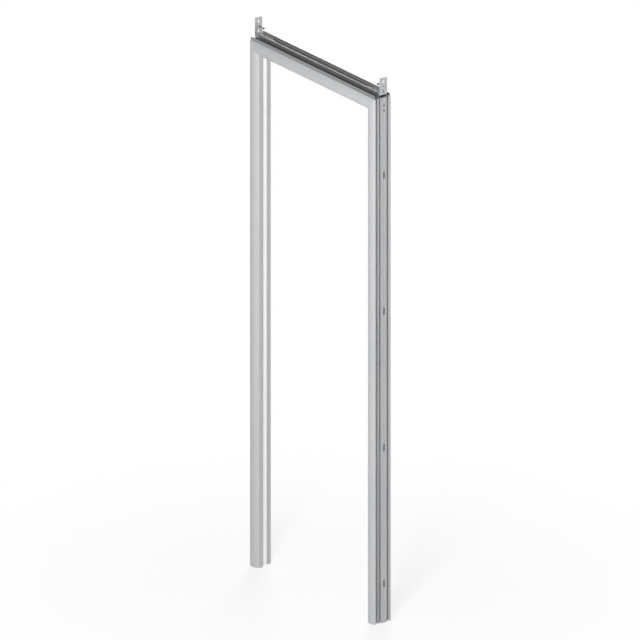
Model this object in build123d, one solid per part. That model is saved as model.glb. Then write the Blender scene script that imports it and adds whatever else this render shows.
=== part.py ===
from build123d import *
import os

# Door frame of extruded profiles with mitred corners, all sizes in millimetres.
# X runs across the doorway, Y runs through the wall from the front to the rear, Z is up from the floor.
# The origin is on the outer face of the left jamb's fixing web, at floor level, half way along its depth.
# A profile's section is drawn with p, from the wall side towards the opening, and q, from front to rear.

# Whole frame
frame_width = 760.0
frame_height = 2100.0

# Main profile, walls
skin = 2.0
web = 1.6
edge_round = 1.0

# Main profile, front half
face_width = 50.0
front_rise = 10.5
nose_back = 5.0
recess_front = 20.0
fin_back = 18.4
fin_knee = 14.0
fin_foot = 33.0

# Main profile, core chamber that holds the corner connectors
core_front = 28.0
core_depth = 26.0
core_width = 26.0
groove_depth = 18.4

# Main profile, rear half
recess_width = 28.0
rear_face_width = 39.0
rear_face_end = 66.4
wall_depth = 72.0
rear_rise = 7.0
rear_fin_foot = 64.0
rear_tip = 1.4

# Snap-in cover strips of the reveal
strip_plate = 1.6
strip_side_gap = 0.2
strip_leg = 1.4
strip_leg_length = 6.0
strip_barb = 0.9
snap_rib = 1.2
snap_rib_height = 1.6
snap_gap = 0.15

# Fixing slots through the jambs' webs, and the wider driver slots in front of them
slot_count = 4
slot_first = 155.0
slot_spacing = 545.0
slot_width = 6.5
slot_length = 30.0
driver_slot_width = 11.0

# Corner connectors and the countersunk screws that hold them, driven through the skins of the wall side
connector_leg = 64.0
connector_fit = 0.15
connector_corner = 8.0
connector_lead = 2.5
connector_web = 6.0
pocket_wall = 3.5
glue_groove = 1.2
glue_groove_depth = 0.6
glue_groove_count = 3
glue_groove_pitch = 5.0
mitre_screw_first = 31.0
mitre_screw_pitch = 21.0
mitre_screw_shank = 5.0
mitre_screw_reach = 16.0
mitre_screw_sink = 0.2
screw_hole_gap = 0.1
profile_hole_gap = 0.2

# Head rail on the top of the frame
rail_setback = 5.0
rail_floor = 11.5
rail_height = 24.5
rail_wall = 2.0
rail_channel_front = 19.5
rail_channel_width = 33.6
rail_front_face = 14.0
rail_rear_face = 10.0
rail_front_leg = 7.0
rail_front_leg_length = 16.5
rail_rear_leg_length = 17.0
rail_leg_gap = 0.2
rail_hook = 1.8
rail_hook_height = 1.4
rail_hook_gap = 0.6

# Fixing brackets in the head rail's channel
bracket_thickness = 3.0
bracket_side_gap = 0.3
bracket_height = 70.0
bracket_length = 100.0
bracket_bend = 2.0
bracket_corner = 4.0
tongue_length = 16.0
tongue_width = 17.0
shoulder_length = 10.0
bracket_slot_width = 7.0
bracket_slot_length = 13.0
lower_slot_height = 14.5
screw_hole_height = 33.5
upper_slot_height = 53.0
leg_slot_width = 6.0
leg_slot_length = 18.0
leg_slot_first = 34.0
leg_slot_pitch = 28.0

# Screws started in the brackets' round holes
bracket_screw_shank = 5.0
bracket_screw_length = 32.0
bracket_screw_head = 9.6
bracket_screw_head_height = 3.2
screw_point = 5.0

# Places that follow from the sizes above
web_middle = core_front + core_depth / 2
core_rear = core_front + core_depth
recess_rear = recess_front + recess_width
strip_back = rear_face_width - strip_plate
rail_floor_z = frame_height + rail_floor
rail_inner_front = rail_channel_front + rail_wall
rail_inner_rear = rail_inner_front + rail_channel_width
mitre_screw_second = mitre_screw_first + mitre_screw_pitch
centre_plane = Plane.YZ.offset(frame_width / 2)


def outline(points):
    """A flat face inside straight lines through the points."""
    return make_face(Polyline(*points, close=True))


def block(low, high):
    """A flat rectangle between two opposite corners."""
    return outline([low, (high[0], low[1]), high, (low[0], high[1])])


def crown(first, second, rise, inset):
    """The disc whose edge bulges by the rise beyond two points, shrunk by the inset."""
    chord = Vector(*second) - Vector(*first)
    radius = (chord.length**2 / 4 + rise**2) / (2 * rise)
    outward = Vector(chord.Y, -chord.X).normalized()
    centre = (Vector(*first) + Vector(*second)) / 2 - outward * (radius - rise)
    return Pos(centre.X, centre.Y) * Circle(radius - inset)


def profile_silhouette(inset):
    """The main profile's outer shape: two crowned faces and the reveal's recess, shrunk by the inset."""
    front = crown((0, 0), (face_width, nose_back), front_rise, inset)
    front &= block((inset, -2 * front_rise), (face_width - inset, recess_front - inset))
    rear = crown((rear_face_width, rear_face_end), (0, wall_depth), rear_rise, inset)
    rear_high = wall_depth + 2 * rear_rise
    rear &= block((inset, recess_rear + inset), (rear_face_width - inset, rear_high))
    middle = block((inset, recess_front - inset), (core_width - inset, recess_rear + inset))
    return front + middle + rear


def fin_line(setback):
    """Two points of the front fin's slanted wall, moved towards the front by the setback."""
    knee = Vector(fin_knee, fin_back)
    foot = Vector(fin_foot, -front_rise)
    along = (foot - knee).normalized()
    normal = Vector(along.Y, -along.X)
    if normal.Y > 0:
        normal = -normal
    return knee + normal * setback, foot + normal * setback


def slope_at(first, second, p):
    """The q of the straight line through two points at a given p."""
    return first.Y + (p - first.X) * (second.Y - first.Y) / (second.X - first.X)


def nose_chamber(inside):
    """The hollow of the front half, behind the slanted fin."""
    knee, foot = fin_line(0)
    web_face = groove_depth + web
    zone = outline(
        [
            (web_face, core_front),
            (web_face, slope_at(knee, foot, web_face)),
            (foot.X, foot.Y),
            (2 * face_width, foot.Y),
            (2 * face_width, core_front),
        ]
    )
    return inside & zone


def front_slot(inside):
    """The slot behind the front skin, open to the wall side, where a wall board enters."""
    knee, foot = fin_line(web)
    fin_front = fin_back - web
    bend = fin_knee - (fin_front - slope_at(knee, foot, fin_knee)) / (
        (knee.Y - foot.Y) / (foot.X - knee.X)
    )
    zone = outline(
        [
            (0, fin_front),
            (bend, fin_front),
            (foot.X, foot.Y),
            (0, foot.Y),
        ]
    )
    mouth = block((-skin, skin), (2 * skin, fin_front))
    return (inside & zone) + mouth


def rear_half_hollows(inside):
    """The rear slot, the hollow of the rear leg and the hollow beside the reveal."""
    rear_slot = outline(
        [
            (-skin, core_rear),
            (groove_depth, core_rear),
            (groove_depth, rear_fin_foot),
            (0, wall_depth - skin - rear_tip),
            (-skin, wall_depth - skin - rear_tip),
        ]
    )
    leg_zone = outline(
        [
            (skin, wall_depth - skin - rear_tip + web),
            (groove_depth, rear_fin_foot + web),
            (groove_depth, wall_depth + rear_rise),
            (skin, wall_depth + rear_rise),
        ]
    )
    web_face = groove_depth + web
    reveal_zone = block((web_face, core_rear), (2 * face_width, 2 * wall_depth))
    side_zone = block((core_width, recess_rear), (2 * face_width, core_rear + web))
    return rear_slot, inside & leg_zone, inside & (reveal_zone + side_zone)


def profile_section():
    """The main profile's section: skins, webs, fins, chambers and the snap ribs of the recess."""
    silhouette = profile_silhouette(0)
    inside = profile_silhouette(skin)
    core = block((skin, core_front + skin), (core_width - skin, core_rear - skin))
    groove = block((-skin, fin_back), (groove_depth, core_front))
    section = silhouette - core - groove - nose_chamber(inside) - front_slot(inside)
    for hollow in rear_half_hollows(inside):
        section -= hollow
    rib_low = strip_back - snap_rib_height
    section += block((rib_low, recess_front), (strip_back, recess_front + snap_rib))
    section += block((rib_low, recess_rear - snap_rib), (strip_back, recess_rear))
    edges = [
        (face_width, nose_back),
        (face_width, recess_front),
        (rear_face_width, rear_face_end),
    ]
    for corner in edges:
        section = fillet(section.vertices().sort_by_distance(corner)[0], edge_round)
    return section


def strip_section():
    """A cover strip's section: a flat plate with two legs whose barbs snap behind the recess's ribs."""
    low = recess_front + strip_side_gap
    high = recess_rear - strip_side_gap
    section = block((strip_back, low), (rear_face_width, high))
    rib_foot = strip_back - snap_rib_height - snap_gap
    leg_foot = strip_back - strip_leg_length
    for edge, inward in ((recess_front + snap_rib, 1), (recess_rear - snap_rib, -1)):
        outer = edge + inward * snap_gap
        inner = outer + inward * strip_leg
        section += outline(
            [
                (strip_back, inner),
                (strip_back, outer),
                (rib_foot, outer),
                (rib_foot, outer - inward * strip_barb),
                (leg_foot, outer + inward * strip_leg / 2),
                (leg_foot, inner),
            ]
        )
    return section


# Planes that stand a section upright as a jamb, or lay it across the doorway as the head
jamb_plane = Plane(origin=(0, -web_middle, 0), x_dir=(1, 0, 0), z_dir=(0, 0, 1))
head_plane = Plane(origin=(0, -web_middle, frame_height), x_dir=(0, 0, -1), z_dir=(1, 0, 0))


def jamb_length(section, length):
    """A length of a section that stands on the floor at the left side."""
    return extrude(jamb_plane * section, amount=length)


def head_length(section, start, length):
    """A length of a section that lies across the doorway, from a given X."""
    return Pos(start, 0, 0) * extrude(head_plane * section, amount=length)


def mitre_wedge():
    """The solid under the left corner's mitre plane, as deep as the profile."""
    reach = 2 * face_width
    corner = Plane.XZ * outline(
        [
            (-reach, frame_height + reach),
            (2 * reach, frame_height - 2 * reach),
            (2 * reach, -reach),
            (-reach, -reach),
        ]
    )
    return extrude(corner, amount=2 * wall_depth, both=True)


def fixing_cutters():
    """Slots through the wall side web, each with a slot for the driver through the recess's floor."""
    wall_slot = SlotOverall(slot_length, slot_width, rotation=90)
    driver_length = slot_length + driver_slot_width - slot_width
    driver_slot = SlotOverall(driver_length, driver_slot_width, rotation=90)
    cutters = []
    for index in range(slot_count):
        place = Pos(0, slot_first + index * slot_spacing)
        cutters.append(extrude(Plane.YZ * place * wall_slot, amount=skin + web, both=True))
        recess_floor = Plane.YZ.offset(core_width)
        cutters.append(extrude(recess_floor * place * driver_slot, amount=2 * skin, both=True))
    return cutters


def in_jamb(shape, place):
    """A shape made under Z = 0, turned into the left jamb's wall side at a distance from the top."""
    return Pos(0, 0, frame_height - place) * Rot(0, -90, 0) * shape


def in_head(shape, place):
    """A shape made under Z = 0, moved to the head's top at a distance from the left side."""
    return Pos(place, 0, frame_height) * shape


def countersink():
    """The 90 degree cone that cuts a screw hole through a skin whose outer face is at Z = 0."""
    hole = mitre_screw_shank / 2 + profile_hole_gap
    corners = [(0, skin), (hole + 2 * skin, skin), (0, -hole - skin)]
    return revolve(Plane.XZ * outline(corners), Axis.Z)


def make_left_jamb():
    """The left jamb, square at the floor and mitred under the head."""
    jamb = jamb_length(profile_section(), frame_height) & mitre_wedge()
    for cutter in fixing_cutters():
        jamb -= cutter
    for place in (mitre_screw_first, mitre_screw_second):
        jamb -= in_jamb(countersink(), place)
    return jamb


def make_head():
    """The head, mitred at both ends, its wall side up."""
    head = head_length(profile_section(), 0, frame_width)
    wedge = mitre_wedge()
    head -= wedge
    head -= mirror(wedge, about=centre_plane)
    for place in (mitre_screw_second, frame_width - mitre_screw_second):
        head -= in_head(countersink(), place)
    return head


def make_connector():
    """The left corner connector: a cast angle with pockets, glue grooves and lead-in ends."""
    outer = skin + connector_fit
    inner = core_width - skin - connector_fit
    top = frame_height - outer
    elbow = frame_height - inner
    foot = frame_height - connector_leg
    shape = Plane.XZ * outline(
        [
            (outer, top),
            (connector_leg, top),
            (connector_leg, elbow),
            (inner, elbow),
            (inner, foot),
            (outer, foot),
        ]
    )
    half_depth = core_depth / 2 - skin - connector_fit
    angle = extrude(shape, amount=half_depth, both=True)
    corner = angle.edges().filter_by(Axis.Y).sort_by_distance((outer, 0, top))[0]
    angle = fillet(corner, connector_corner)
    ends = [angle.faces().sort_by(Axis.X)[-1], angle.faces().sort_by(Axis.Z)[0]]
    angle = chamfer([edge for face in ends for edge in face.edges()], connector_lead)
    pocket_depth = half_depth - connector_web / 2
    boss = mitre_screw_shank / 2 + pocket_wall
    pocket = Plane.XZ * block(
        (mitre_screw_first + boss, elbow + pocket_wall),
        (mitre_screw_second - boss, top - pocket_wall),
    )
    for side in (1, -1):
        near_web = Pos(0, side * connector_web / 2, 0)
        cut = near_web * extrude(pocket, amount=-side * pocket_depth)
        angle -= cut
        angle -= mirror(cut, about=Plane(origin=(0, 0, frame_height), z_dir=(1, 0, 1)))
    bore = Pos(0, 0, -core_width / 2) * Cylinder(mitre_screw_shank / 2 + screw_hole_gap, core_width)
    for place in (mitre_screw_first, mitre_screw_second):
        angle -= in_jamb(bore, place)
        angle -= in_head(bore, place)
    for index in range(glue_groove_count):
        place = connector_corner + outer + glue_groove_pitch * (index + 1)
        groove = Box(2 * glue_groove_depth, 2 * half_depth, glue_groove)
        angle -= Pos(outer, 0, frame_height - place) * groove
        angle -= Pos(place, 0, top) * Rot(0, 90, 0) * groove
    return angle


def make_mitre_screws():
    """The three screws that hold the left corner connector, two in the jamb and one in the head.

    Their heads lie a little under the wall side, and each has a 90 degree cone that seats in the skin.
    """
    shank = mitre_screw_shank / 2
    cone_end = skin + profile_hole_gap
    corners = [
        (0, -mitre_screw_sink),
        (shank + cone_end - mitre_screw_sink, -mitre_screw_sink),
        (shank, -cone_end),
        (shank, -mitre_screw_reach),
        (0, -mitre_screw_reach),
    ]
    one = revolve(Plane.XZ * outline(corners), Axis.Z)
    in_jamb_leg = [in_jamb(one, place) for place in (mitre_screw_first, mitre_screw_second)]
    return [*in_jamb_leg, in_head(one, mitre_screw_second)]


def rail_section():
    """The head rail's section, drawn with q along the wall's depth and z up from the head's top."""
    front_wall = rail_channel_front
    rear_wall = rail_inner_rear + rail_wall
    section = block((0, 0), (wall_depth, rail_wall))
    section += block((front_wall, rail_floor - rail_wall), (rear_wall, rail_floor))
    section += block((0, 0), (rail_wall, rail_front_face))
    section += block((wall_depth - rail_wall, 0), (wall_depth, rail_rear_face))
    hook_z = rail_floor + bracket_thickness + rail_hook_gap
    for q, inward in ((front_wall, 1), (rear_wall, -1)):
        inner = q + inward * rail_wall
        section += block((min(q, inner), 0), (max(q, inner), rail_height))
        section += outline(
            [
                (inner, hook_z),
                (inner + inward * rail_hook, hook_z),
                (inner, hook_z + rail_hook_height),
            ]
        )
    rear_leg = core_rear + rail_leg_gap
    for q, length in ((rail_front_leg, rail_front_leg_length), (rear_leg, rail_rear_leg_length)):
        section += outline(
            [
                (q, 0),
                (q, -length + rail_wall),
                (q + rail_wall / 2, -length),
                (q + rail_wall, -length + rail_wall),
                (q + rail_wall, 0),
            ]
        )
    return section


def make_rail():
    """The head rail, square cut and short of the frame's sides by its setback."""
    plane = Plane(origin=(rail_setback, -web_middle, frame_height), x_dir=(0, 1, 0), z_dir=(1, 0, 0))
    return extrude(plane * rail_section(), amount=frame_width - 2 * rail_setback)


def make_bracket():
    """The left fixing bracket: an angle of strip metal that lies in the rail and rises at the side."""
    width = rail_channel_width - 2 * bracket_side_gap
    middle = (rail_inner_front + rail_inner_rear) / 2 - web_middle
    shape = outline(
        [
            (0, 0),
            (bracket_length, 0),
            (bracket_length, bracket_thickness),
            (bracket_thickness, bracket_thickness),
            (bracket_thickness, bracket_height),
            (0, bracket_height),
        ]
    )
    shape = fillet(shape.vertices().sort_by_distance((0, 0))[0], bracket_bend + bracket_thickness)
    inner = shape.vertices().sort_by_distance((bracket_thickness, bracket_thickness))[0]
    shape = fillet(inner, bracket_bend)
    bracket = extrude(Plane.XZ * shape, amount=width / 2, both=True)
    top = bracket.edges().filter_by(Axis.X).group_by(Axis.Z)[-1]
    bracket = fillet(top, bracket_corner)
    shoulder = bracket_length - tongue_length
    for side in (1, -1):
        corner = outline(
            [
                (shoulder - shoulder_length, side * width / 2),
                (shoulder, side * tongue_width / 2),
                (bracket_length, side * tongue_width / 2),
                (2 * bracket_length, side * tongue_width / 2),
                (2 * bracket_length, side * width),
                (shoulder - shoulder_length, side * width),
            ]
        )
        bracket -= extrude(corner, amount=2 * bracket_thickness, both=True)
    for index in range(2):
        place = Pos(leg_slot_first + index * leg_slot_pitch, 0)
        slot = place * SlotOverall(leg_slot_length, leg_slot_width)
        bracket -= extrude(slot, amount=2 * bracket_thickness, both=True)
    for height in (lower_slot_height, upper_slot_height):
        slot = Plane.YZ * Pos(0, height) * SlotOverall(
            bracket_slot_length, bracket_slot_width, rotation=90
        )
        bracket -= extrude(slot, amount=2 * bracket_thickness, both=True)
    hole = Cylinder(bracket_screw_shank / 2 + screw_hole_gap, 4 * bracket_thickness)
    bracket -= Pos(0, 0, screw_hole_height) * Rot(0, 90, 0) * hole
    return Pos(0, middle, rail_floor_z) * bracket


def make_bracket_screw():
    """The screw started in the left bracket's round hole, its point level with the bracket's face.

    The head is a low cone on a rim that stands up a third of its height.
    """
    corners = [
        (0, bracket_screw_head_height),
        (bracket_screw_head / 2, bracket_screw_head_height / 3),
        (bracket_screw_head / 2, 0),
        (bracket_screw_shank / 2, 0),
        (bracket_screw_shank / 2, screw_point - bracket_screw_length),
        (0, -bracket_screw_length),
    ]
    one = revolve(Plane.XZ * outline(corners), Axis.Z)
    middle = (rail_inner_front + rail_inner_rear) / 2 - web_middle
    return Pos(bracket_screw_length, middle, rail_floor_z + screw_hole_height) * Rot(0, 90, 0) * one


def save(name, shape):
    """Write one piece as its own file."""
    export_step(shape, f"parts/{name}.step")


def save_pair(name, shape):
    """Write a piece of the left side and its mirror image at the right side."""
    save(f"{name}_left", shape)
    save(f"{name}_right", mirror(shape, about=centre_plane))


def main():
    os.makedirs("parts", exist_ok=True)
    save_pair("jamb", make_left_jamb())
    save("head", make_head())
    save("head_rail", make_rail())
    save_pair("corner_connector", make_connector())
    save_pair("mitre_screws", Compound(children=make_mitre_screws()))
    save_pair("cover_strip", jamb_length(strip_section(), frame_height - rear_face_width))
    head_strip_length = frame_width - 2 * strip_back
    save("cover_strip_head", head_length(strip_section(), strip_back, head_strip_length))
    save_pair("fixing_bracket", make_bracket())
    save_pair("bracket_screw", make_bracket_screw())


main()
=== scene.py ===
import math

import bpy
import numpy as np
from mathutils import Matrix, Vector
from mathutils.geometry import delaunay_2d_cdt


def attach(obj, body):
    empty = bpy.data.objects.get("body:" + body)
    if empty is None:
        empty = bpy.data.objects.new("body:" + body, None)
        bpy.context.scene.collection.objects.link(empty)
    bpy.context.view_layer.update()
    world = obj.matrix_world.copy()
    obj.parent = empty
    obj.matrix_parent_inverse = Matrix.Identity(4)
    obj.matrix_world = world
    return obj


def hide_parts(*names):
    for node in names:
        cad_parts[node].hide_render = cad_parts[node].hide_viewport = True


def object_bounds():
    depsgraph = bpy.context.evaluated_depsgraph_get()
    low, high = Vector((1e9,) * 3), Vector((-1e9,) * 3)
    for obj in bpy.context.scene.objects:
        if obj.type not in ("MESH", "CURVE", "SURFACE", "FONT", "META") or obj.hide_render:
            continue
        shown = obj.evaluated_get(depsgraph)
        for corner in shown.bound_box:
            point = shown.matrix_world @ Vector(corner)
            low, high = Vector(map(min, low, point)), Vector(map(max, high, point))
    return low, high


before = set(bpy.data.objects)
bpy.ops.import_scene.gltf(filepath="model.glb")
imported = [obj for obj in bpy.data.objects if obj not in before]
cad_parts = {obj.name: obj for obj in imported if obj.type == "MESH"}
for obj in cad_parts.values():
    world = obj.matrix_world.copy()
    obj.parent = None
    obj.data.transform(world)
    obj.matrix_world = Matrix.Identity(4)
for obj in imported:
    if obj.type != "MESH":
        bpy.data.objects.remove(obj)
cadLow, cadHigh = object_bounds()
print("frame loaded:", len(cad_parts), "nodes")

# The frame stands on the floor, X across the doorway, Y through the wall, all in metres
whole = {
    "width": 0.760,
    "height": 2.100,
    "webMiddle": 0.041,  # depth from the profile's front corner to the frame's middle line
    "mitreGap": 0.00012,  # what each side of a mitre stands back from the joint
}


# Shared ways of making a mesh

def arc(centre, radius, start, end, count):
    # centre + radius * (cos a, sin a), with a running evenly from the start's angle to the end's
    a0 = math.atan2(start[1] - centre[1], start[0] - centre[0])
    a1 = math.atan2(end[1] - centre[1], end[0] - centre[0])
    turn = (a1 - a0 + math.pi) % (2 * math.pi) - math.pi
    a = a0 + turn * np.linspace(0, 1, count)
    return np.column_stack([centre[0] + radius * np.cos(a), centre[1] + radius * np.sin(a)])


# The least turn that is rounded and the most that counts, in radians, and how much of a side may go
softening = {"leastTurn": 0.35, "mostTurn": 2.4, "sideShare": 0.45}


def softened(loop, radius, steps=4):
    # a corner P that turns enough becomes (1-t)^2 A + 2t(1-t) P + t^2 B, with A and B set back on its sides
    back, ahead = np.roll(loop, 1, 0) - loop, np.roll(loop, -1, 0) - loop
    backLength, aheadLength = np.linalg.norm(back, axis=1), np.linalg.norm(ahead, axis=1)
    cosTurn = -np.sum(back * ahead, 1) / (backLength * aheadLength)
    turn = np.arccos(np.clip(cosTurn, -1, 1))
    setBack = radius * np.tan(np.minimum(turn, softening["mostTurn"]) / 2)
    setBack = np.minimum(setBack, softening["sideShare"] * np.minimum(backLength, aheadLength))
    t = np.linspace(0, 1, steps)[None, :, None]
    a = (loop + back * (setBack / backLength)[:, None])[:, None]
    b = (loop + ahead * (setBack / aheadLength)[:, None])[:, None]
    curve = (1 - t) ** 2 * a + 2 * t * (1 - t) * loop[:, None] + t**2 * b
    kept = turn <= softening["leastTurn"]
    curve[kept, 0] = loop[kept]
    shown = np.ones(curve.shape[:2], bool)
    shown[kept, 1:] = False
    return curve[shown]


def gridFaces(rows, columns, closed=False):
    # a quad between each point of a grid and its next ones, and from the last column to the first if closed
    i, j = np.meshgrid(np.arange(rows - 1), np.arange(columns - (not closed)), indexing="ij")
    nextI, nextJ = i + 1, (j + 1) % columns
    corners = [i * columns + j, nextI * columns + j, nextI * columns + nextJ, i * columns + nextJ]
    return np.stack(corners, -1).reshape(-1, 4)


def meshObject(name, points, faces):  # faces is a list of arrays, each with one count of corners
    mesh = bpy.data.meshes.new(name)
    mesh.vertices.add(len(points))
    mesh.vertices.foreach_set("co", np.asarray(points, np.float32).ravel())
    sizes = np.concatenate([np.full(len(f), f.shape[1]) for f in faces])
    corners = np.concatenate([np.asarray(f).ravel() for f in faces])
    mesh.loops.add(len(corners))
    mesh.loops.foreach_set("vertex_index", corners.astype(np.int32))
    mesh.polygons.add(len(sizes))
    mesh.polygons.foreach_set("loop_start", (np.cumsum(sizes) - sizes).astype(np.int32))
    mesh.update(calc_edges=True)
    mesh.validate()
    made = bpy.data.objects.new(name, mesh)
    bpy.context.scene.collection.objects.link(made)
    return made


def outward(points, faces):  # turns every face over if the volume, the sum of a . (b x c) / 6, is negative
    volume = 0
    for f in faces:
        a = points[f[:, 0]]
        for k in range(1, f.shape[1] - 1):
            volume += np.sum(a * np.cross(points[f[:, k]], points[f[:, k + 1]]))
    return faces if volume > 0 else [f[:, ::-1] for f in faces]


def makePiece(name, points, faces, finish, node):  # finish is a material and the name of its slot; the slot's name is not used
    material, slotName = finish
    piece = meshObject(name, points, outward(points, faces))
    piece.data.materials.append(material)
    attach(piece, "root")
    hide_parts(node)
    return piece


shading = {"sharpest": 40, "weight": 100}  # degrees, and how strongly a large face pulls the normals


def evenNormals(piece):  # flat faces keep flat shading beside their rounded edges
    piece.data.shade_smooth()
    piece.data.set_sharp_from_angle(angle=math.radians(shading["sharpest"]))
    weighted = piece.modifiers.new("evenNormals", "WEIGHTED_NORMAL")
    weighted.keep_sharp = True
    weighted.weight = shading["weight"]


def windingOf(loop):  # twice the signed area inside a loop
    return np.sum(loop[:, 0] * np.roll(loop[:, 1], -1) - loop[:, 1] * np.roll(loop[:, 0], -1))


def patternOf(loops):
    # all points, and the indices of each loop, with the outline turned one way and its holes the other
    loops = [loop if (windingOf(loop) > 0) == (i == 0) else loop[::-1] for i, loop in enumerate(loops)]
    starts = np.cumsum([0] + [len(loop) for loop in loops])
    return np.concatenate(loops), [np.arange(starts[i], starts[i + 1]) for i in range(len(loops))]


def filled(flat, loops, merge=1e-9):
    # Delaunay triangles inside an outline, kept where a line to the right of their middle crosses the loops
    # an odd number of times, so that the holes stay open; all are turned the outline's way
    start, end = np.concatenate(loops), np.concatenate([np.roll(loop, -1) for loop in loops])
    order = np.zeros(len(flat), int)
    order[start] = np.arange(len(start))
    edges = np.column_stack([order[start], order[end]]).tolist()
    _, _, faces, origins = delaunay_2d_cdt([Vector(p) for p in flat[start]], edges, [], 1, merge)[:4]
    corners = start[np.array(origins)[:, 0][np.array(faces)]]
    (ax, ay), (bx, by) = flat[start].T, flat[end].T
    mx, my = flat[corners].mean(1).T[:, :, None]
    leftOf = (bx - ax) * (my - ay) - (by - ay) * (mx - ax) > 0
    crossed = ((ay > my) != (by > my)) & (leftOf == (by > ay))
    return corners[crossed.sum(1) % 2 == 1]


def sidesOf(loops, count):  # quads between each loop and its copy, which lies count points further on
    sides = []
    for loop in loops:
        ahead = np.roll(loop, -1)
        sides.append(np.column_stack([loop, ahead, ahead + count, loop + count]))
    return np.concatenate(sides)


def sweepPiece(name, loops, endsAt, place, finish, node):
    # each point (p, q) of the section runs from one s of endsAt(p) to the other, and place gives x, y and z
    flat, loops = patternOf(loops)
    p, q = flat.T
    points = np.concatenate([place(p, q, 0 * p + s) for s in endsAt(p)])
    caps, count = filled(flat, loops), len(flat)
    return makePiece(name, points, [sidesOf(loops, count), caps + count, caps[:, ::-1]], finish, node)


def cutBy(piece, points, faces):  # takes closed plugs away from a piece
    cutter = meshObject("cutter", points, outward(points, faces))
    cut = piece.modifiers.new("cut", "BOOLEAN")
    cut.object, cut.operation, cut.solver = cutter, "DIFFERENCE", "EXACT"
    ready = piece.evaluated_get(bpy.context.evaluated_depsgraph_get())
    uncut, plug = piece.data, cutter.data
    piece.data = bpy.data.meshes.new_from_object(ready)
    piece.modifiers.remove(cut)
    bpy.data.objects.remove(cutter)
    bpy.data.meshes.remove(plug)
    bpy.data.meshes.remove(uncut)
    piece.data.name = piece.name


# Finishes, each from its own nodes on object coordinates, in metres. A noise is given as its cells to a
# metre, or its cells across and along the profile, then its detail and its roughness. A spread says where
# on the noise's range from 0 to 1 the low value ends and the high one starts. A relief is its height and
# its strength.

def newMaterial(name, s):  # the material, its nodes, its shader and the place on the object
    material = bpy.data.materials.new(name)
    material.use_nodes = True
    tree = material.node_tree
    shader = tree.nodes["Principled BSDF"]
    shader.inputs["Roughness"].default_value = s["roughness"]
    shader.inputs["Metallic"].default_value = s["metallic"]
    return material, tree, shader, tree.nodes.new("ShaderNodeTexCoord").outputs["Object"]


def noiseAt(tree, place, scale, detail, roughness=0.5):  # cells of 1/scale metres, alike or for each axis
    mapping, noise = tree.nodes.new("ShaderNodeMapping"), tree.nodes.new("ShaderNodeTexNoise")
    mapping.inputs["Scale"].default_value = scale if isinstance(scale, tuple) else (scale,) * 3
    noise.inputs["Scale"].default_value = 1.0
    noise.inputs["Detail"].default_value = detail
    noise.inputs["Roughness"].default_value = roughness
    tree.links.new(place, mapping.inputs["Vector"])
    tree.links.new(mapping.outputs["Vector"], noise.inputs["Vector"])
    return noise.outputs["Fac"]


def linesAt(tree, place, along, across, lengthwise, detail, roughness=0.5):  # long cells that follow one axis
    scale = tuple(lengthwise if axis == along else across for axis in "xyz")
    return noiseAt(tree, place, scale, detail, roughness)


def ramp(tree, value, spread, low, high):  # a colour or a grey, even from low to high over the spread
    node = tree.nodes.new("ShaderNodeValToRGB")
    for element, at, colour in zip(node.color_ramp.elements, spread, (low, high)):
        element.position = at
        element.color = (*colour, 1) if isinstance(colour, tuple) else (colour, colour, colour, 1)
    tree.links.new(value, node.inputs["Fac"])
    return node.outputs["Color"]


def multiplied(tree, first, second):  # one colour times another
    node = tree.nodes.new("ShaderNodeMix")
    node.data_type, node.blend_type = "RGBA", "MULTIPLY"
    node.inputs[0].default_value = 1.0
    firstInput, secondInput = (socket for socket in node.inputs if socket.type == "RGBA")
    tree.links.new(first, firstInput)
    tree.links.new(second, secondInput)
    return next(socket for socket in node.outputs if socket.type == "RGBA")


def finishWith(tree, shader, s, colour, gloss, relief):
    # gloss, from 0 to 1, takes the roughness through its span, and relief raises the surface
    least, most = (s["roughness"] + shift for shift in s["roughSpan"])
    tree.links.new(colour, shader.inputs["Base Color"])
    tree.links.new(ramp(tree, gloss, s["roughSpread"], least, most), shader.inputs["Roughness"])
    bump = tree.nodes.new("ShaderNodeBump")
    bump.inputs["Distance"].default_value, bump.inputs["Strength"].default_value = s["relief"]
    tree.links.new(relief, bump.inputs["Height"])
    tree.links.new(bump.outputs["Normal"], shader.inputs["Normal"])


anodised = {
    "low": (0.40, 0.405, 0.41), "high": (0.50, 0.505, 0.51), "spread": (0.30, 0.68),
    "lines": (1400, 0.6, 3), "grain": (5200, 26, 2),
    "clouds": (3, 3), "cloudTint": (0.93, 0.94, 0.96), "cloudSpread": (0.3, 0.7),
    "roughness": 0.38, "roughSpan": (-0.05, 0.08), "roughSpread": (0.25, 0.75),
    "metallic": 0.12, "relief": (0.00002, 0.5),
}


def anodisedProfile(name, along, s):  # satin silver with fine die lines that run the profile's whole length
    material, tree, shader, place = newMaterial(name, s)
    streaks = ramp(tree, linesAt(tree, place, along, *s["lines"]), s["spread"], s["low"], s["high"])
    tint = ramp(tree, noiseAt(tree, place, *s["clouds"]), s["cloudSpread"], s["cloudTint"], (1.0, 1.0, 1.0))
    grain = linesAt(tree, place, along, *s["grain"])
    finishWith(tree, shader, s, multiplied(tree, streaks, tint), grain, grain)
    return material


mill = {
    "low": (0.20, 0.205, 0.21), "high": (0.38, 0.385, 0.39), "spread": (0.32, 0.70),
    "lines": (800, 0.3, 4, 0.65),
    "smudges": ((5, 18, 18), 3), "smudgeShade": 0.92, "smudgeSpread": (0.35, 0.65),
    "roughness": 0.40, "roughSpan": (-0.06, 0.08), "roughSpread": (0.3, 0.7),
    "metallic": 0.85, "relief": (0.00003, 0.6),
}


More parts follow.
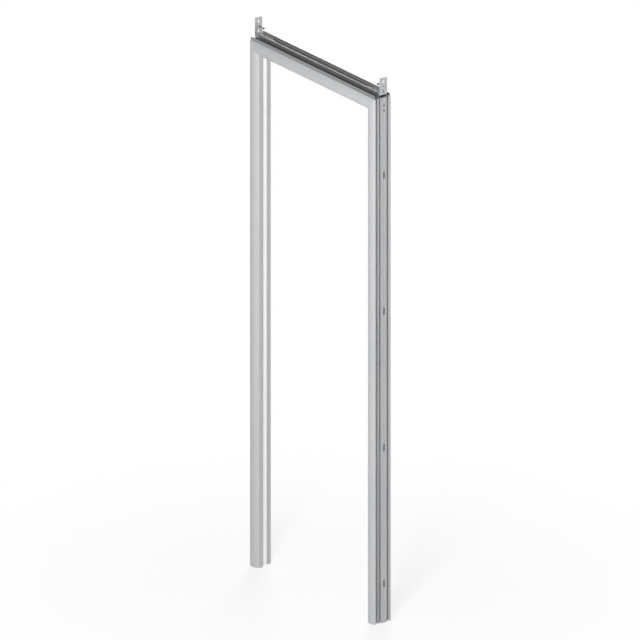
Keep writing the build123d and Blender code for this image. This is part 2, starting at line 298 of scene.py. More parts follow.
def millFinish(name, along, s):  # bare extrusion, dark and dull, with coarser die lines and handling smudges
    material, tree, shader, place = newMaterial(name, s)
    dieLines = linesAt(tree, place, along, *s["lines"])
    streaks = ramp(tree, dieLines, s["spread"], s["low"], s["high"])
    shade = ramp(tree, noiseAt(tree, place, *s["smudges"]), s["smudgeSpread"], s["smudgeShade"], 1.0)
    finishWith(tree, shader, s, multiplied(tree, streaks, shade), dieLines, dieLines)
    return material


vinyl = {
    "low": (0.85, 0.85, 0.84), "high": (0.92, 0.92, 0.91), "spread": (0.3, 0.7),
    "ripples": (260, 1.5, 2), "grain": (2600, 1),
    "roughness": 0.38, "roughSpan": (-0.04, 0.06), "roughSpread": (0.3, 0.7),
    "metallic": 0.0, "relief": (0.00006, 0.4), "specular": 0.45,
}


def whiteVinyl(name, along, s):  # smooth white plastic with faint extrusion ripples
    material, tree, shader, place = newMaterial(name, s)
    ripples = linesAt(tree, place, along, *s["ripples"])
    white = ramp(tree, ripples, s["spread"], s["low"], s["high"])
    finishWith(tree, shader, s, white, noiseAt(tree, place, *s["grain"]), ripples)
    shader.inputs["Specular IOR Level"].default_value = s["specular"]
    return material


galvanised = {
    "low": (0.42, 0.43, 0.44), "high": (0.56, 0.57, 0.58), "spread": (0, 1),
    "cells": 420, "warp": (300, 2), "warpReach": 0.002,
    "roughness": 0.40, "roughSpan": (-0.04, 0.08), "roughSpread": (0, 1),
    "metallic": 0.5, "relief": (0.00004, 0.5),
}


def galvanisedSheet(name, s):  # zinc spangle: cells of a few millimetres, each with its own shade and gloss
    material, tree, shader, place = newMaterial(name, s)
    warp = noiseAt(tree, place, *s["warp"])
    bent = tree.nodes.new("ShaderNodeVectorMath")
    bent.operation = "MULTIPLY_ADD"
    bent.inputs[1].default_value = (s["warpReach"],) * 3
    tree.links.new(warp, bent.inputs[0])
    tree.links.new(place, bent.inputs[2])
    spangle, parts = tree.nodes.new("ShaderNodeTexVoronoi"), tree.nodes.new("ShaderNodeSeparateColor")
    spangle.inputs["Scale"].default_value = s["cells"]
    tree.links.new(bent.outputs[0], spangle.inputs["Vector"])
    tree.links.new(spangle.outputs["Color"], parts.inputs[0])
    shade, gloss = parts.outputs[:2]
    finishWith(tree, shader, s, ramp(tree, shade, s["spread"], s["low"], s["high"]), gloss, warp)
    return material


zinc = {
    "low": (0.10, 0.10, 0.105), "high": (0.19, 0.19, 0.195), "spread": (0.3, 0.7),
    "marks": (1800, 4, 0.6),
    "roughness": 0.34, "roughSpan": (-0.06, 0.12), "roughSpread": (0.3, 0.7),
    "metallic": 1.0, "relief": (0.00002, 0.5),
}


def zincPlate(name, s):  # dark zinc plate with tumbling marks
    material, tree, shader, place = newMaterial(name, s)
    marks = noiseAt(tree, place, *s["marks"])
    finishWith(tree, shader, s, ramp(tree, marks, s["spread"], s["low"], s["high"]), marks, marks)
    return material


castAlloy = {
    "low": (0.36, 0.36, 0.355), "high": (0.52, 0.52, 0.51), "spread": (0.3, 0.7),
    "flow": ((90, 140, 60), 4, 0.6), "grain": (3200, 3),
    "roughness": 0.55, "roughSpan": (-0.08, 0.12), "roughSpread": (0.3, 0.7),
    "metallic": 0.85, "relief": (0.00006, 0.6),
}


def castFinish(name, s):  # die-cast skin: matt, with fine grain and darker flow marks
    material, tree, shader, place = newMaterial(name, s)
    grain, flow = noiseAt(tree, place, *s["grain"]), noiseAt(tree, place, *s["flow"])
    finishWith(tree, shader, s, ramp(tree, flow, s["spread"], s["low"], s["high"]), grain, grain)
    return material


profileUpright = (anodisedProfile("anodisedUpright", "z", anodised), "profile")
profileAcross = (anodisedProfile("anodisedAcross", "x", anodised), "profile")
railMetal = (millFinish("millRail", "x", mill), "rail")
stripUpright = (whiteVinyl("vinylUpright", "z", vinyl), "cover_strip")
stripAcross = (whiteVinyl("vinylAcross", "x", vinyl), "cover_strip")
sheetZinc = (galvanisedSheet("galvanisedSheet", galvanised), "bracket")
screwZinc = (zincPlate("zincScrew", zinc), "screw")
castMetal = castFinish("castConnector", castAlloy)
print("materials made:", len(bpy.data.materials))


# Main profile of the jambs and the head, section points (p, q): p from the wall side, q from front to rear

profile = {
    "skin": 0.0020, "web": 0.0016, "edge": 0.0010, "corner": 0.00025,
    "faceWidth": 0.0500, "frontRise": 0.0105, "noseBack": 0.0050, "recessFront": 0.0200,
    "finBack": 0.0184, "finKnee": 0.0140, "finFoot": 0.0330,
    "coreFront": 0.0280, "coreRear": 0.0540, "coreWidth": 0.0260, "grooveDepth": 0.0184,
    "recessRear": 0.0480, "rearFace": 0.0390, "rearFaceEnd": 0.0664, "depth": 0.0720, "rearRise": 0.0070,
    "rearFinFoot": 0.0640, "rearTip": 0.0014,
    "ribTop": 0.0374, "ribWidth": 0.0016, "ribHeight": 0.0012,
    "guideWidth": 0.0024, "guideFloor": 0.0008, "guideDepth": 0.0010,  # fine groove that guides the drill
    "crownSteps": 33, "chamberSteps": 3,
}


def crownCircle(first, second, rise):
    # centre and radius of the circle that bulges by the rise beyond the chord between two points
    first, second = np.array(first), np.array(second)
    chord = second - first
    length = np.linalg.norm(chord)
    radius = (length**2 / 4 + rise**2) / (2 * rise)
    away = np.array([chord[1], -chord[0]]) / length
    return (first + second) / 2 - away * (radius - rise), radius


def circleAt(circle, p, side):  # the point of a circle at p, on its low or high side in q
    centre, radius = circle
    return (p, centre[1] + side * math.sqrt(radius**2 - (p - centre[0]) ** 2))


def lineMeetsCircle(start, end, circle):
    # where start + t (end - start) is one radius from the centre, at the larger t
    centre, radius = circle
    start, way = np.array(start), np.array(end) - np.array(start)
    offset = start - centre
    a, b, c = way @ way, 2 * way @ offset, offset @ offset - radius**2
    return tuple(start + way * (-b + math.sqrt(b * b - 4 * a * c)) / (2 * a))


def loopOf(*runs):  # joins single points and arcs to one closed loop
    return np.concatenate([np.atleast_2d(run) for run in runs])


def profileLoops(s):
    # the section's outline, then its four chambers, each one skin or one web in from the outline: the nose's,
    # the core, the rear leg's and the reveal's, with arcs along the crowns and straight walls elsewhere
    skin, web, steps = s["skin"], s["web"], s["crownSteps"]
    low, high, deep = s["recessFront"], s["recessRear"], s["coreWidth"]
    coreFront, coreRear, groove = s["coreFront"], s["coreRear"], s["grooveDepth"]
    front = crownCircle((0, 0), (s["faceWidth"], s["noseBack"]), s["frontRise"])
    rear = crownCircle((s["rearFace"], s["rearFaceEnd"]), (0, s["depth"]), s["rearRise"])
    frontInner, rearInner = (front[0], front[1] - skin), (rear[0], rear[1] - skin)
    knee, foot = np.array([s["finKnee"], s["finBack"]]), np.array([s["finFoot"], -s["frontRise"]])
    slope = (foot - knee) / np.linalg.norm(foot - knee)
    shift = web * np.array([slope[1], -slope[0]])  # towards the front and the wall side
    finFront = s["finBack"] - web
    bend = knee + shift + slope * (finFront - (knee + shift)[1]) / slope[1]
    finTip = lineMeetsCircle(knee + shift, foot + shift, frontInner)
    ribLow, ribTop, rise = s["ribTop"] - s["ribWidth"], s["ribTop"], s["ribHeight"]
    slotLip = s["depth"] - skin - s["rearTip"]
    guide, guideDepth = whole["webMiddle"], s["guideDepth"]
    guideHalf, floorHalf = s["guideWidth"] / 2, s["guideFloor"] / 2
    outer = loopOf(
        arc(*front, (0, 0), (s["faceWidth"], s["noseBack"]), steps),
        (s["faceWidth"], low), (ribTop, low), (ribTop, low + rise), (ribLow, low + rise), (ribLow, low),
        (deep, low), (deep, high),
        (ribLow, high), (ribLow, high - rise), (ribTop, high - rise), (ribTop, high), (s["rearFace"], high),
        arc(*rear, (s["rearFace"], s["rearFaceEnd"]), (0, s["depth"]), steps),
        (0, slotLip), (groove, s["rearFinFoot"]), (groove, coreRear), (0, coreRear),
        (0, guide + guideHalf), (guideDepth, guide + floorHalf),
        (guideDepth, guide - floorHalf), (0, guide - guideHalf),
        (0, coreFront), (groove, coreFront), (groove, s["finBack"]), (0, s["finBack"]), (0, finFront), bend,
        arc(*frontInner, finTip, circleAt(frontInner, skin, -1), steps),
        (skin, skin), (0, skin),
    )
    webFace = groove + web
    chamberFront = knee + slope * (webFace - knee[0]) / slope[0]
    noseStart = lineMeetsCircle(knee, foot, frontInner)
    noseEnd = circleAt(frontInner, s["faceWidth"] - skin, -1)
    nose = loopOf(
        (webFace, coreFront), chamberFront, arc(*frontInner, noseStart, noseEnd, steps),
        (s["faceWidth"] - skin, low - skin), (deep - skin, low - skin), (deep - skin, coreFront),
    )
    core = loopOf(
        (skin, coreFront + skin), (deep - skin, coreFront + skin),
        (deep - skin, coreRear - skin), (skin, coreRear - skin),
    )
    leg = loopOf(
        (skin, slotLip + web), (groove, s["rearFinFoot"] + web),
        arc(*rearInner, circleAt(rearInner, groove, 1), circleAt(rearInner, skin, 1), steps),
    )
    reveal = loopOf(
        (deep, high + skin), (s["rearFace"] - skin, high + skin),
        arc(*rearInner, circleAt(rearInner, s["rearFace"] - skin, 1), circleAt(rearInner, webFace, 1), steps),
        (webFace, coreRear), (deep, coreRear),
    )
    radii = np.full(len(outer), s["corner"])
    for point in ((s["faceWidth"], s["noseBack"]), (s["faceWidth"], low), (s["rearFace"], s["rearFaceEnd"])):
        radii[np.argmin(np.linalg.norm(outer - point, axis=1))] = s["edge"]
    chambers = [softened(loop, s["corner"], s["chamberSteps"]) for loop in (nose, core, leg, reveal)]
    return [softened(outer, radii)] + chambers


def uprightLeft(p, q, s):  # x = p, y = q from the web's middle, z = s
    return np.column_stack([p, q - whole["webMiddle"], s])


def uprightRight(p, q, s):  # x = width - p, y = q from the web's middle, z = s
    return np.column_stack([whole["width"] - p, q - whole["webMiddle"], s])


def lyingAcross(p, q, s):  # x = s, y = q from the web's middle, z = height - p
    return np.column_stack([s, q - whole["webMiddle"], whole["height"] - p])


uprights = (("Left", uprightLeft), ("Right", uprightRight))


# Fixing slots punched through the jambs, and the countersunk holes of the corner screws in the wall side

punching = {
    "slots": 4, "first": 0.155, "pitch": 0.545,
    "slotWidth": 0.0065, "slotLength": 0.030, "driverWidth": 0.011,
    "screwPlaces": (0.031, 0.052), "screwHole": 0.0054, "reach": 0.0036, "roundSteps": 24,
}


def stadium(width, length, steps):  # half circles joined by straight sides, (length - width) apart
    a = np.linspace(-math.pi / 2, math.pi / 2, steps // 2 + 1)
    end = np.column_stack([width / 2 * np.sin(a), (length - width) / 2 + width / 2 * np.cos(a)])
    end = end[: len(end) - (length == width)]  # a full circle's halves share their ends
    return np.concatenate([end, -end])


def plugs(stacks):  # each stack is a list of rings from one end of a cutter to the other, with flat ends
    points, faces, first = [], [], 0
    for rings in stacks:
        n, last = len(rings[0]), (len(rings) - 1) * len(rings[0])
        i = np.arange(n)[None]
        points += rings
        faces += [first + gridFaces(len(rings), n, closed=True), first + i, first + last + i[:, ::-1]]
        first += last + n
    return np.concatenate(points), faces


def cutterAt(levels, at, place, steps):  # a ring for each (p, width, length), centred on the web's middle
    rings = []
    for p, width, length in levels:
        flat = stadium(width, length, steps)
        rings.append(place(np.full(len(flat), p), flat[:, 0] + whole["webMiddle"], flat[:, 1] + at))
    return rings


def jambCutters(s, place):  # a slot through the web and a wider one for the driver through the recess's floor
    driverLength = s["slotLength"] + s["driverWidth"] - s["slotWidth"]
    slots = ((0, s["slotWidth"], s["slotLength"]), (profile["coreWidth"], s["driverWidth"], driverLength))
    stacks = []
    for at in s["first"] + s["pitch"] * np.arange(s["slots"]):
        for p, width, length in slots:
            levels = [(p - s["reach"], width, length), (p + s["reach"], width, length)]
            stacks.append(cutterAt(levels, at, place, s["roundSteps"]))
    return stacks


def screwCutters(s, ends, place):  # 90 degree cones, down to the hole's width at the skin's inner face
    levels = []
    for p in (-s["reach"], s["reach"]):
        width = s["screwHole"] + 2 * (profile["skin"] - p)
        levels.append((p, width, width))
    return [cutterAt(levels, at, place, s["roundSteps"]) for at in ends]


section = profileLoops(profile)
gap, (nearScrew, farScrew) = whole["mitreGap"], punching["screwPlaces"]
for side, place in uprights:
    jamb = sweepPiece(
        "jamb" + side, section, lambda p: (0, whole["height"] - p - gap), place,
        profileUpright, "jamb_" + side.lower(),
    )
    topEnds = [whole["height"] - nearScrew, whole["height"] - farScrew]
    cutBy(jamb, *plugs(jambCutters(punching, place) + screwCutters(punching, topEnds, place)))
    evenNormals(jamb)
head = sweepPiece(
    "headProfile", section, lambda p: (p + gap, whole["width"] - p - gap), lyingAcross, profileAcross, "head",
)
cutBy(head, *plugs(screwCutters(punching, [farScrew, whole["width"] - farScrew], lyingAcross)))
evenNormals(head)
print("profiles swept:", [len(loop) for loop in section], "points to a loop")


# Cover strips that snap into the recess of the reveal

strip = {
    "plate": 0.0016, "sideGap": 0.0002, "leg": 0.0014, "legLength": 0.0060, "barb": 0.0009,
    "ribGap": 0.00015, "corner": 0.0003,
}


def stripLoop(s):  # one half with its barbed leg, and the same half turned over for the recess's other side
    top, back = profile["rearFace"], profile["rearFace"] - s["plate"]
    low, high = profile["recessFront"], profile["recessRear"]
    barbFoot, legFoot = back - profile["ribWidth"] - s["ribGap"], back - s["legLength"]
    outer = profile["ribHeight"] + s["ribGap"]
    inner = outer + s["leg"]
    half = np.array([  # distances from one side of the recess, from the plate's edge round the leg
        (top, s["sideGap"]), (back, s["sideGap"]), (back, outer), (barbFoot, outer),
        (barbFoot, outer - s["barb"]), (legFoot, outer + s["leg"] / 2), (legFoot, inner), (back, inner),
    ])
    near, far = half + (0, low), (half * (1, -1) + (0, high))[::-1]
    return softened(np.concatenate([near, far]), s["corner"])


stripSection = [stripLoop(strip)]
stripTop = whole["height"] - profile["rearFace"]
stripBack = profile["rearFace"] - strip["plate"]
for side, place in uprights:
    upright = sweepPiece(
        "coverStrip" + side, stripSection, lambda p: (0, stripTop), place,
        stripUpright, "cover_strip_" + side.lower(),
    )
    evenNormals(upright)
across = sweepPiece(
    "coverStripHead", stripSection, lambda p: (stripBack, whole["width"] - stripBack), lyingAcross,
    stripAcross, "cover_strip_head",
)
evenNormals(across)
print("cover strips made")


# Head rail, drawn with q through the wall and r up from the head's top

rail = {
    "setback": 0.005, "wall": 0.002, "floor": 0.0115, "height": 0.0245,
    "channelFront": 0.0195, "channelWidth": 0.0336, "frontFace": 0.014, "rearFace": 0.010,
    "bracketSheet": 0.003, "hook": 0.0018, "hookHeight": 0.0014, "hookGap": 0.0006,
    "frontLeg": 0.007, "frontLegLength": 0.0165, "rearLegGap": 0.0002, "rearLegLength": 0.017,
    "corner": 0.0003, "hollowSteps": 3,
}


def railLoops(s):  # round the side ribs, the channel with its hooks and the two legs, then the floor's hollow
    w, front, depth = s["wall"], s["channelFront"], profile["depth"]
    rear = front + 2 * w + s["channelWidth"]
    top, floor = s["height"], s["floor"]
    hook = floor + s["bracketSheet"] + s["hookGap"]  # the hooks' undersides hold the brackets' legs down
    hookTop = hook + s["hookHeight"]

    def leg(q, length):  # from its rear side round the point to its front side
        return [(q + w, 0), (q + w, w - length), (q + w / 2, -length), (q, w - length), (q, 0)]

    outer = [(0, 0), (0, s["frontFace"]), (w, s["frontFace"]), (w, w), (front, w), (front, top)]
    outer += [(front + w, top), (front + w, hookTop), (front + w + s["hook"], hook), (front + w, hook)]
    outer += [(front + w, floor), (rear - w, floor)]
    outer += [(rear - w, hook), (rear - w - s["hook"], hook), (rear - w, hookTop), (rear - w, top)]
    outer += [(rear, top), (rear, w), (depth - w, w), (depth - w, s["rearFace"]), (depth, s["rearFace"])]
    outer += [(depth, 0)] + leg(profile["coreRear"] + s["rearLegGap"], s["rearLegLength"])
    outer += leg(s["frontLeg"], s["frontLegLength"])
    hollow = [(front + w, w), (rear - w, w), (rear - w, floor - w), (front + w, floor - w)]
    return [softened(np.array(outer), s["corner"]), softened(np.array(hollow), s["corner"], s["hollowSteps"])]


def onHead(q, r, s):  # x = s, y = q from the web's middle, z = height + r
    return np.column_stack([s, q - whole["webMiddle"], whole["height"] + r])


headRail = sweepPiece(
    "headRail", railLoops(rail), lambda q: (rail["setback"], whole["width"] - rail["setback"]), onHead,
    railMetal, "head_rail",
)
evenNormals(headRail)
print("head rail made")


# Fixing brackets, bent from a flat pattern (s, t): s along the strip from the tongue to the top, t across it

bracket = {
    "thickness": rail["bracketSheet"], "sideGap": 0.0003, "length": 0.100, "height": 0.070,
    "bend": 0.002, "bendSteps": 9, "corner": 0.004, "cornerSteps": 7,
    "tongueLength": 0.016, "tongueWidth": 0.017, "shoulder": 0.010, "tongueCorner": 0.002,
    "legSlots": (0.034, 0.062), "legSlotWidth": 0.006, "legSlotLength": 0.018,
    "slotHeights": (0.0145, 0.053), "slotWidth": 0.007, "slotLength": 0.013,
    "holeHeight": 0.0335, "hole": 0.0052, "roundSteps": 24,
    "edge": 0.00035, "edgeSegments": 2, "edgeAngle": 50,
}


def bendMiddle(s):  # length of the bend along the sheet's middle, a quarter turn
    return math.pi / 2 * (s["bend"] + s["thickness"] / 2)


def bentAt(pattern, depth, s):
    # flat up to the bend, then centre + (radius - depth) (-sin a, -cos a) over a quarter turn, then upright
    along, across = pattern[:, 0], pattern[:, 1]
    outerRadius = s["bend"] + s["thickness"]
    flatEnd, bendLength = s["length"] - outerRadius, bendMiddle(s)
    a = np.clip((along - flatEnd) / bendLength, 0, 1) * math.pi / 2
    x = outerRadius - (outerRadius - depth) * np.sin(a) + np.maximum(flatEnd - along, 0)
    z = outerRadius - (outerRadius - depth) * np.cos(a) + np.maximum(along - flatEnd - bendLength, 0)
    return np.column_stack([x, across, z])


def bracketPattern(s):  # every point of the pattern, its loops as indices, and where the bend starts and ends
    flatEnd = s["length"] - s["bend"] - s["thickness"]
    bendEnd = flatEnd + bendMiddle(s)
    top = bendEnd + s["height"] - s["bend"] - s["thickness"]
    half, tongue = rail["channelWidth"] / 2 - s["sideGap"], s["tongueWidth"] / 2
    shoulder = s["tongueLength"] + s["shoulder"]
    rise = np.linspace(flatEnd, bendEnd, s["bendSteps"])
    outline = loopOf(
        (0, tongue), (0, -tongue), (s["tongueLength"], -tongue), (shoulder, -half),
        np.column_stack([rise, 0 * rise - half]), (top, -half), (top, half),
        np.column_stack([rise[::-1], 0 * rise + half]), (shoulder, half), (s["tongueLength"], tongue),
    )
    radii = np.where(outline[:, 0] > bendEnd, s["corner"], s["tongueCorner"])
    outline = softened(outline, radii, s["cornerSteps"])
    toLeg, toUpright = s["length"], bendEnd - s["bend"] - s["thickness"]
    holes = [(toLeg - x, s["legSlotWidth"], s["legSlotLength"]) for x in s["legSlots"]]
    holes += [(toUpright + z, s["slotWidth"], s["slotLength"]) for z in s["slotHeights"]]
    holes += [(toUpright + s["holeHeight"], s["hole"], s["hole"])]
    cuts = [stadium(width, length, s["roundSteps"])[:, ::-1] + (at, 0) for at, width, length in holes]
    return *patternOf([outline] + cuts), flatEnd, bendEnd


def bracketMesh(s):
    # the pattern's two faces, bent, with walls between them along every loop; the flat parts are filled
    # round their holes, and the bend is a row of quads between its near and far edges
    flat, loops, flatEnd, bendEnd = bracketPattern(s)
    outline, holes, hair = loops[0], loops[1:], 1e-9
    along = flat[:, 0]
    lower, upper = outline[along[outline] < flatEnd + hair], outline[along[outline] > bendEnd - hair]
    bending = outline[(along[outline] > flatEnd - hair) & (along[outline] < bendEnd + hair)]
    near, far = bending[: s["bendSteps"]], bending[s["bendSteps"]:][::-1]
    ways = [filled(flat, [lower] + [h for h in holes if along[h[0]] < flatEnd])]
    ways.append(filled(flat, [upper] + [h for h in holes if along[h[0]] > bendEnd]))
    ways.append(np.column_stack([near[:-1], near[1:], far[1:], far[:-1]]))
    count = len(flat)
    points = np.concatenate([bentAt(flat, 0, s), bentAt(flat, s["thickness"], s)])
    return points, [sidesOf(loops, count)] + [w + count for w in ways] + [w[:, ::-1] for w in ways]


wallSides = (("Left", 0, 1), ("Right", whole["width"], -1))  # the outer face's x, and the way to the doorway
railFloor = whole["height"] + rail["floor"]
channelMiddle = rail["channelFront"] + rail["wall"] + rail["channelWidth"] / 2 - whole["webMiddle"]
bracketPoints, bracketFaces = bracketMesh(bracket)
for side, start, way in wallSides:
    placed = bracketPoints * (way, 1, 1) + (start, channelMiddle, railFloor)
    angle = makePiece(
        "fixingBracket" + side, placed, bracketFaces, sheetZinc, "fixing_bracket_" + side.lower(),
    )
    rounding = angle.modifiers.new("punchedEdge", "BEVEL")
    rounding.width, rounding.segments = bracket["edge"], bracket["edgeSegments"]
    rounding.limit_method, rounding.angle_limit = "ANGLE", math.radians(bracket["edgeAngle"])
    evenNormals(angle)
print("brackets bent:", len(bracketPoints), "points each")


# Screws: rings of points down the axis, from the head's cross recess to the end of the thread

bracketScrew = {  # pan head, its seat at z = 0
    "head": 0.0096, "rim": 0.00144, "dome": 0.00176, "rimFoot": 0.0, "coneFoot": 0.0,
    "shank": 0.0050, "reach": 0.032, "point": 0.005, "taper": 0.8,
    "pitch": 0.0018, "root": 0.72, "recess": 0.0016, "armWidth": 0.0011, "armLength": 0.0024,
}
cornerScrew = {  # countersunk head, its flat top at z = 0, and no point
    "head": 0.0088, "rim": 0.0, "dome": 0.0, "rimFoot": -0.0001, "coneFoot": -0.0020,
    "shank": 0.0050, "reach": 0.0158, "point": 0.0, "sink": 0.0002,
    "pitch": 0.0010, "root": 0.80, "recess": 0.0012, "armWidth": 0.0010, "armLength": 0.0020,
}
screwGrid = {"around": 40, "top": 18, "perTurn": 8, "bareNeck": 0.0008, "tip": 0.0002, "recessSide": 0.0004}


def screwRings(s, g):
    # head: z = rim + dome (1 - (r/R)^3) less a cross recess, and thread radius: root + depth w,
    # where w falls from 1 at a crest to 0 half a pitch on, and the crest climbs one pitch a turn
    a = np.linspace(0, 2 * math.pi, g["around"], endpoint=False)[None, :]
    headRadius, shankRadius = s["head"] / 2, s["shank"] / 2
    share = np.linspace(0, 1, g["top"] + 1)[1:, None]
    radius = headRadius * share + 0 * a
    x, y = np.abs(radius * np.cos(a)), np.abs(radius * np.sin(a))
    alongArm = np.maximum(y - s["armWidth"] / 2, x - s["armLength"])
    acrossArm = np.maximum(x - s["armWidth"] / 2, y - s["armLength"])
    sunk = s["recess"] * np.clip(0.5 - np.minimum(alongArm, acrossArm) / g["recessSide"], 0, 1)
    parts = [(radius, s["rim"] + s["dome"] * (1 - share**3) - sunk)]
    parts += [(headRadius + 0 * a, s["rimFoot"] + 0 * a), (shankRadius + 0 * a, s["coneFoot"] + 0 * a)]
    start = s["coneFoot"] - g["bareNeck"]
    length = s["reach"] + start
    rows = int(length / s["pitch"] * g["perTurn"])
    z = start - length * np.linspace(0, 1, rows + 1)[:, None]
    wave = 1 - np.abs(2 * ((z / s["pitch"] - a / (2 * math.pi)) % 1) - 1)
    fade = np.clip((start - z) / s["pitch"], 0, 1)
    thread = shankRadius * (1 - (1 - s["root"]) * (1 - wave) * fade)
    if s["point"]:
        taper = np.clip((s["reach"] + z) / s["point"], 0, 1) ** s["taper"]
        thread = g["tip"] + (thread - g["tip"]) * taper
    parts.append((thread, z + 0 * a))
    radii, heights = (np.concatenate([part[k] for part in parts]) for k in (0, 1))
    return np.stack([radii * np.cos(a), radii * np.sin(a), heights], -1)


def screwMesh(s, g):  # the rings, closed by one point on the axis at each end
    rings = screwRings(s, g)
    rows, around = rings.shape[:2]
    poles = [[0, 0, s["rim"] + s["dome"] - s["recess"]], [0, 0, -s["reach"]]]
    points = np.concatenate([rings.reshape(-1, 3), poles])
    i = np.arange(around)
    j = (i + 1) % around
    last = (rows - 1) * around
    topPole = np.column_stack([np.full(around, rows * around), i, j])
    endPole = np.column_stack([np.full(around, rows * around + 1), last + j, last + i])
    return points, [gridFaces(rows, around, closed=True), topPole, endPole]


def alongX(points, x, y, z, way):  # the axis turned to X, with the head towards +X if way is 1, or -X if -1
    return np.column_stack([x + way * points[:, 2], y + way * points[:, 0], z + points[:, 1]])


def copies(places, faces):  # the same closed mesh at several places, as one
    count = len(places[0])
    return np.concatenate(places), [f + i * count for i in range(len(places)) for f in faces]


longScrew, longFaces = screwMesh(bracketScrew, screwGrid)
shortScrew, shortFaces = screwMesh(cornerScrew, screwGrid)
sink = cornerScrew["sink"]
for side, start, way in wallSides:
    seat = start + way * bracketScrew["reach"]
    placed = alongX(longScrew, seat, channelMiddle, railFloor + bracket["holeHeight"], way)
    started = makePiece(
        "bracketScrew" + side, placed, longFaces, screwZinc, "bracket_screw_" + side.lower(),
    )
    evenNormals(started)
    heights = [whole["height"] - away for away in punching["screwPlaces"]]
    places = [alongX(shortScrew, start + way * sink, 0, z, -way) for z in heights]
    places.append(shortScrew + (start + way * farScrew, 0, whole["height"] - sink))
    cornerSet = makePiece(
        "cornerScrews" + side, *copies(places, shortFaces), screwZinc, "mitre_screws_" + side.lower(),
    )
    evenNormals(cornerSet)
print("screws made:", len(longScrew), "and", len(shortScrew), "points each")


# The corner connectors keep their solids and take a cast finish

for side in ("left", "right"):
    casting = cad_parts["corner_connector_" + side].data
    casting.materials.clear()
    casting.materials.append(castMetal)


# Floor, light and camera

studio = {
    "floorSize": 14.0, "floorSteps": 41, "floor": (0.86, 0.86, 0.86), "floorShade": 0.98,
    "clouds": (1.5, 3), "cloudSpread": (0.3, 0.7), "roughness": 0.7, "metallic": 0.0,
    "shadowReach": (0.3, 1.6), "glow": 0.78, "white": 1.0, "ambient": 0.12,
}
lamps = {  # place, side of the square and power
    "key": ((3.6, -3.8, 3.4), 1.4, 320),
    "fill": ((-1.6, -4.2, 2.0), 2.4, 6),
    "rear": ((-3.0, 3.2, 2.6), 2.0, 140),
}


def floorGrid(s):  # z = 0 over a square grid, with far edges out of view
    side = np.linspace(-s["floorSize"] / 2, s["floorSize"] / 2, s["floorSteps"])
    x, y = np.meshgrid(side, side, indexing="ij")
    points = np.stack([x + whole["width"] / 2, y, 0 * x], -1).reshape(-1, 3)
    return points, [gridFaces(s["floorSteps"], s["floorSteps"])]


def seenWhite(tree):  # 1 for rays from the camera, from gloss and through glass, or else 0
    path = tree.nodes.new("ShaderNodeLightPath")
    seen = path.outputs["Is Camera Ray"]
    for kind in ("Is Glossy Ray", "Is Transmission Ray"):
        larger = tree.nodes.new("ShaderNodeMath")
        larger.operation = "MAXIMUM"
        tree.links.new(seen, larger.inputs[0])
        tree.links.new(path.outputs[kind], larger.inputs[1])
        seen = larger.outputs[0]
    return seen


def paleFloor(s):
    # seen directly it is white, with the shadow kept near the frame: the share of glow is that of the
    # settings at the frame's feet and grows smoothly to 1 far away
    material, tree, shader, place = newMaterial("paleFloor", s)
    low = tuple(c * s["floorShade"] for c in s["floor"])
    pale = ramp(tree, noiseAt(tree, place, *s["clouds"]), s["cloudSpread"], low, s["floor"])
    tree.links.new(pale, shader.inputs["Base Color"])
    distance = tree.nodes.new("ShaderNodeVectorMath")
    distance.operation = "DISTANCE"
    distance.inputs[1].default_value = (whole["width"] / 2, 0, 0)
    tree.links.new(place, distance.inputs[0])
    share = tree.nodes.new("ShaderNodeMapRange")
    share.interpolation_type = "SMOOTHSTEP"
    share.inputs["From Min"].default_value, share.inputs["From Max"].default_value = s["shadowReach"]
    share.inputs["To Min"].default_value, share.inputs["To Max"].default_value = s["glow"], 1.0
    tree.links.new(distance.outputs["Value"], share.inputs["Value"])
    seenShare = tree.nodes.new("ShaderNodeMath")
    seenShare.operation = "MULTIPLY"
    tree.links.new(share.outputs["Result"], seenShare.inputs[0])
    tree.links.new(seenWhite(tree), seenShare.inputs[1])
    glow, both = tree.nodes.new("ShaderNodeEmission"), tree.nodes.new("ShaderNodeMixShader")
    glow.inputs["Strength"].default_value = s["white"]
    tree.links.new(seenShare.outputs[0], both.inputs[0])
    tree.links.new(shader.outputs["BSDF"], both.inputs[1])
    tree.links.new(glow.outputs[0], both.inputs[2])
    tree.links.new(both.outputs[0], tree.nodes["Material Output"].inputs["Surface"])
    return material


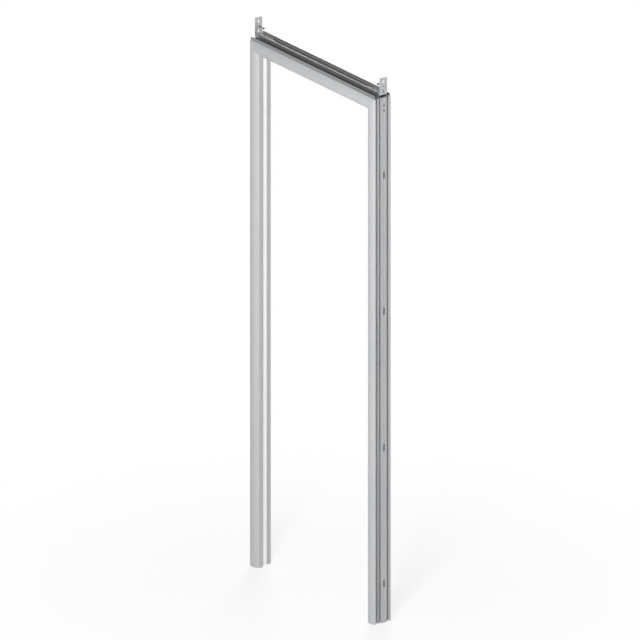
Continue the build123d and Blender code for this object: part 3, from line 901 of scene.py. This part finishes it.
def makeWorld(s):  # white where it is seen, and a weak even light on the object
    world = bpy.data.worlds.new("studio")
    bpy.context.scene.world = world
    world.use_nodes = True
    tree = world.node_tree
    background = tree.nodes["Background"]
    background.inputs["Color"].default_value = (1, 1, 1, 1)
    strength = tree.nodes.new("ShaderNodeMapRange")
    strength.inputs["To Min"].default_value = s["ambient"]
    strength.inputs["To Max"].default_value = s["white"]
    tree.links.new(seenWhite(tree), strength.inputs["Value"])
    tree.links.new(strength.outputs["Result"], background.inputs["Strength"])


def makeLamp(name, target, place, size, power):  # a square lamp that faces the target
    lamp = bpy.data.lights.new(name, "AREA")
    lamp.shape, lamp.size, lamp.energy = "SQUARE", size, power
    holder = bpy.data.objects.new(name, lamp)
    holder.location = place
    holder.rotation_euler = (Vector(target) - Vector(place)).to_track_quat("-Z", "Y").to_euler()
    bpy.context.scene.collection.objects.link(holder)


floorPiece = meshObject("studioFloor", *floorGrid(studio))
floorPiece.data.materials.append(paleFloor(studio))
makeWorld(studio)
middle = (whole["width"] / 2, 0.0, whole["height"] / 2)
for name, lampFacts in lamps.items():
    makeLamp(name, middle, *lampFacts)

# Parallel view from the drawing's direction, seen from the right and a little above
view = {"azimuth": 52.3, "elevation": 22.0, "distance": 9.0, "fill": 0.955, "farthest": 100.0}


def viewAxes(s):  # right, up and back of the camera for an azimuth and an elevation
    a, e = math.radians(s["azimuth"]), math.radians(s["elevation"])
    right = np.array([math.cos(a), math.sin(a), 0])
    back = np.array([math.sin(a) * math.cos(e), -math.cos(a) * math.cos(e), math.sin(e)])
    return right, np.cross(back, right), back


def makeCamera(s):  # looks at the middle of the solids' box as seen, which fills a share of the picture
    right, up, back = viewAxes(s)
    corners = np.array(np.meshgrid(*zip(cadLow, cadHigh))).reshape(3, -1).T
    across, upward = corners @ right, corners @ up
    centre = right * (across.min() + across.max()) / 2 + up * (upward.min() + upward.max()) / 2
    centre += back * np.mean(corners @ back)
    data = bpy.data.cameras.new("camera")
    data.type = "ORTHO"
    data.ortho_scale = max(np.ptp(across), np.ptp(upward)) / s["fill"]
    data.clip_end = s["farthest"]
    camera = bpy.data.objects.new("camera", data)
    camera.location = centre + back * s["distance"]
    camera.rotation_euler = Vector(-back).to_track_quat("-Z", "Y").to_euler()
    bpy.context.scene.collection.objects.link(camera)
    bpy.context.scene.camera = camera


makeCamera(view)
bpy.context.scene.view_settings.view_transform = "Standard"
print("stage, light and camera set")
